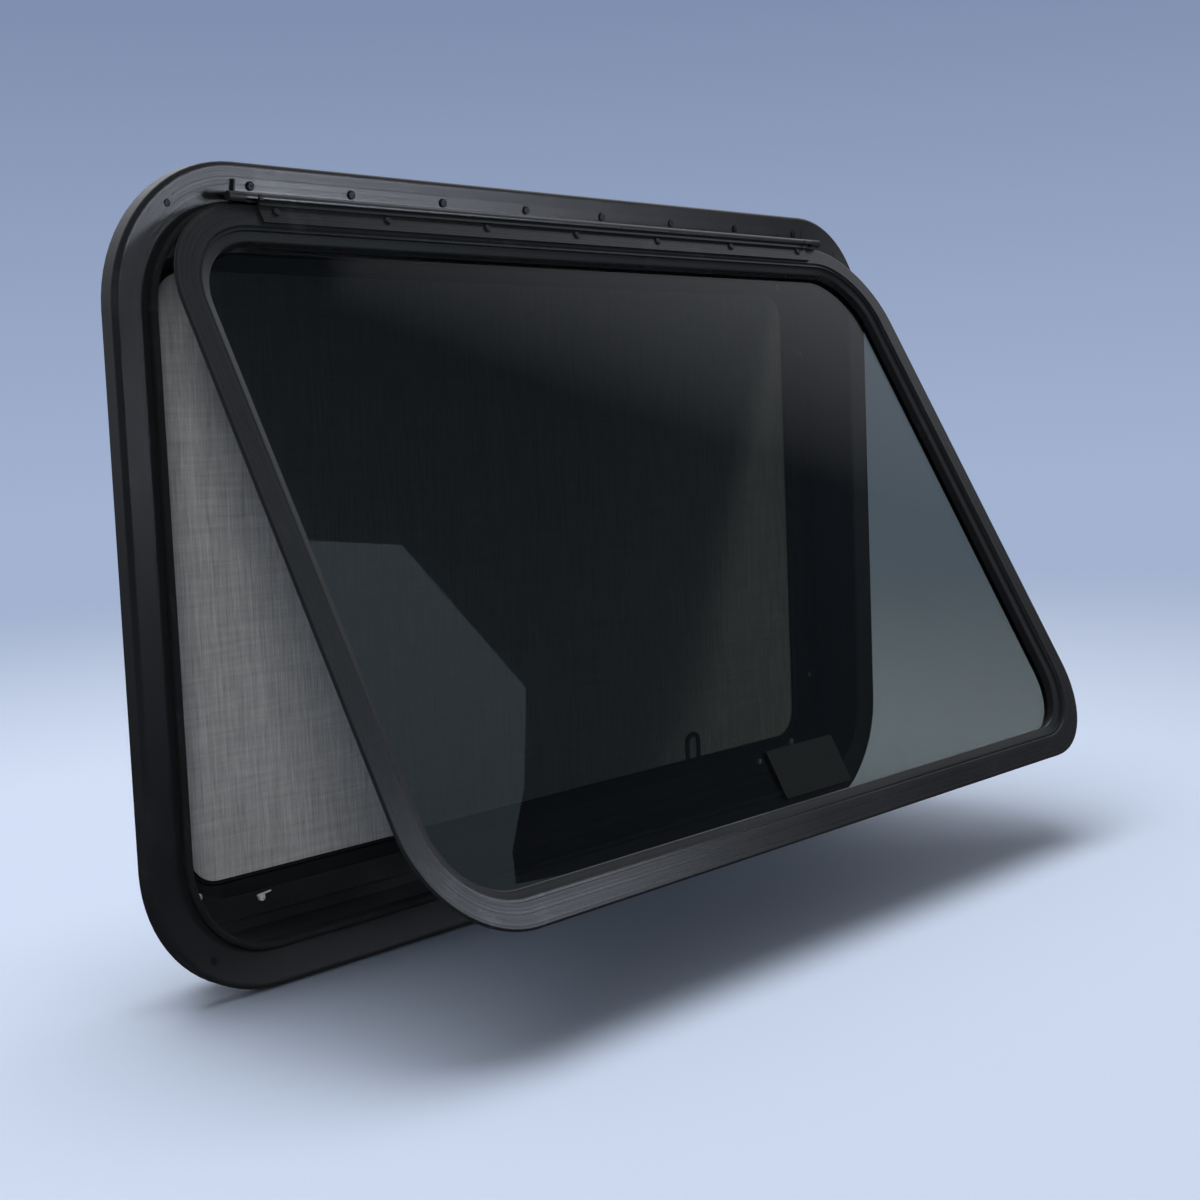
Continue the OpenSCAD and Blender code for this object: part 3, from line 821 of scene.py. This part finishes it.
# %% [markdown]
# ## Air and lamps
#
# A soft grey air fills the shadows. Seven panels give the light: the four small ones that the
# metal mirrors, and three that mirrors don't see. Light linking keeps each where it belongs.
# The pane takes no light from any of them, because their outlines would stand in it, and only
# the top one lights the floor. The sheen's panel leaves the sash out. The panels for the corner
# and the left side light only the frame, its seal and its half of the hinge with the left cap.
# The pane casts no shadow in their light, and the sash none in the corner's.

# %% Air and lamps
SOFT_TONE = (0.20, 0.21, 0.225)
SHEEN_LIFT = Vector((0, 0, 0.05))
world = bpy.data.worlds.new("studio")
bpy.context.scene.world = world
world.use_nodes = True
world.node_tree.nodes["Background"].inputs["Color"].default_value = (*SOFT_TONE, 1)
world.cycles_visibility.glossy = False


def soft_panel(name, place, aim, width, height, power, tint, *hidden_from):
    lamp = bpy.data.lights.new(name, "AREA")
    lamp.shape = "RECTANGLE"
    lamp.size, lamp.size_y, lamp.energy, lamp.color = width, height, power, tint
    holder = bpy.data.objects.new(name, lamp)
    bpy.context.scene.collection.objects.link(holder)
    holder.location = place
    holder.rotation_euler = (Vector(aim) - Vector(place)).to_track_quat("-Z", "Y").to_euler()
    hide_from(holder, "camera", *hidden_from)
    return holder


def link_light(role, state, things, *panels):
    """Choose what the panels light (receiver), or what shades their light (blocker)."""
    group = bpy.data.collections.new("light_" + role)
    for thing in things:
        group.objects.link(thing)
    for member in group.collection_objects:
        member.light_linking.link_state = state
    for panel in panels:
        setattr(panel.light_linking, role + "_collection", group)


SKY_TINT, HIGH_TINT, PLAIN_TINT = (0.82, 0.87, 1.0), (0.93, 0.96, 1.0), (1.0, 1.0, 1.0)
key = soft_panel("key_panel", key_place, (-0.1, -0.2, 0.1), 0.34, 0.12, 0.60, SKY_TINT)
sheen = soft_panel("sheen_panel", sheen_place + SHEEN_LIFT, (-0.3, 0, 0.45),
                   0.18, 0.28, 3.0, SKY_TINT)
corner = soft_panel("corner_panel", corner_place, (-0.35, 0, 0.45), 0.12, 0.12, 0.95, SKY_TINT)
stile = soft_panel("stile_panel", stile_place, (-0.37, 0, 0.31), 0.10, 0.12, 0.16, SKY_TINT)
side = soft_panel("side_panel", (1.30, -1.55, 0.22), (0.25, 0.03, 0.2),
                  0.30, 0.30, 10, PLAIN_TINT, "glossy")
front = soft_panel("front_panel", (-1.25, -1.20, 0.80), (-0.3, 0.03, 0.2),
                   0.45, 0.45, 14, PLAIN_TINT, "glossy")
top = soft_panel("top_panel", (-0.3, 0.3, 3.4), (0, 0, 0.2), 3.0, 3.0, 104, HIGH_TINT, "glossy")
pane = nodes["glass_pane"]
SASH_PARTS = ("sash_frame", "hinge_sash_leaf", "glazing_tape", "glazing_bead")
FACE_PARTS = ("outer_frame", "hinge_frame_leaf", "hinge_end_cap_left", "weather_seal")
sash_parts = [nodes[name] for name in SASH_PARTS]
face_parts = [nodes[name] for name in FACE_PARTS]
link_light("receiver", "EXCLUDE", (pane,), top)
link_light("receiver", "EXCLUDE", (pane, floor), key, side, front)
link_light("receiver", "EXCLUDE", (pane, floor, *sash_parts), sheen)
link_light("receiver", "INCLUDE", face_parts, corner, stile)
link_light("blocker", "EXCLUDE", (pane, *sash_parts), corner)
link_light("blocker", "EXCLUDE", (pane,), stile)

# %% [markdown]
# ## A pale card for the pane
#
# One pale card with a bent edge stands far off, where the camera sees it mirrored in the left
# corner of the pane. Its outline is given in millimetres on the pane, across and down, and each
# corner is sent along its own mirrored ray until it meets the card's plane.

# %% Pale card
CARD_OUTLINE = ((-560, 190), (-420, 212), (-268, 231), (-219, 331), (-252, 388), (-280, 422),
                (-287, 440), (-180, 448), (-90, 520), (-90, 700), (-560, 700))
CARD_FAR = 6.5
CARD_LOW_TONE, CARD_TOP_TONE = (0.160, 0.200, 0.230), (0.440, 0.560, 0.640)
middle = on_sash(0, 220, SASH_BACK + GLASS_FRONT)
card_view = (mirrored(middle, pane_out, 1.0) - middle).normalized()
card_middle = middle + card_view * CARD_FAR
card = bmesh.new()
corners = []
for x, down in CARD_OUTLINE:
    spot = on_sash(x, down, SASH_BACK + GLASS_FRONT)
    ray = mirrored(spot, pane_out, 1.0) - spot
    reach = (card_middle - spot).dot(card_view) / ray.dot(card_view)
    corners.append(card.verts.new(spot + ray * reach))
card.faces.new(corners)
card_finish = Finish("pale_card")
heights = [corner.co.z for corner in corners]
_, _, card_height = card_finish.parts(card_finish.where())
card_rise = card_finish.clamp(card_height, min(heights), max(heights))
card_finish.show(glow(card_finish, card_finish.blend(card_rise, CARD_LOW_TONE, CARD_TOP_TONE)))
pale_card = staged(card, "pale_card", card_finish.material)
hide_from(pale_card, *ONLY_MIRRORS_SEE)
print("card corners:", len(corners))
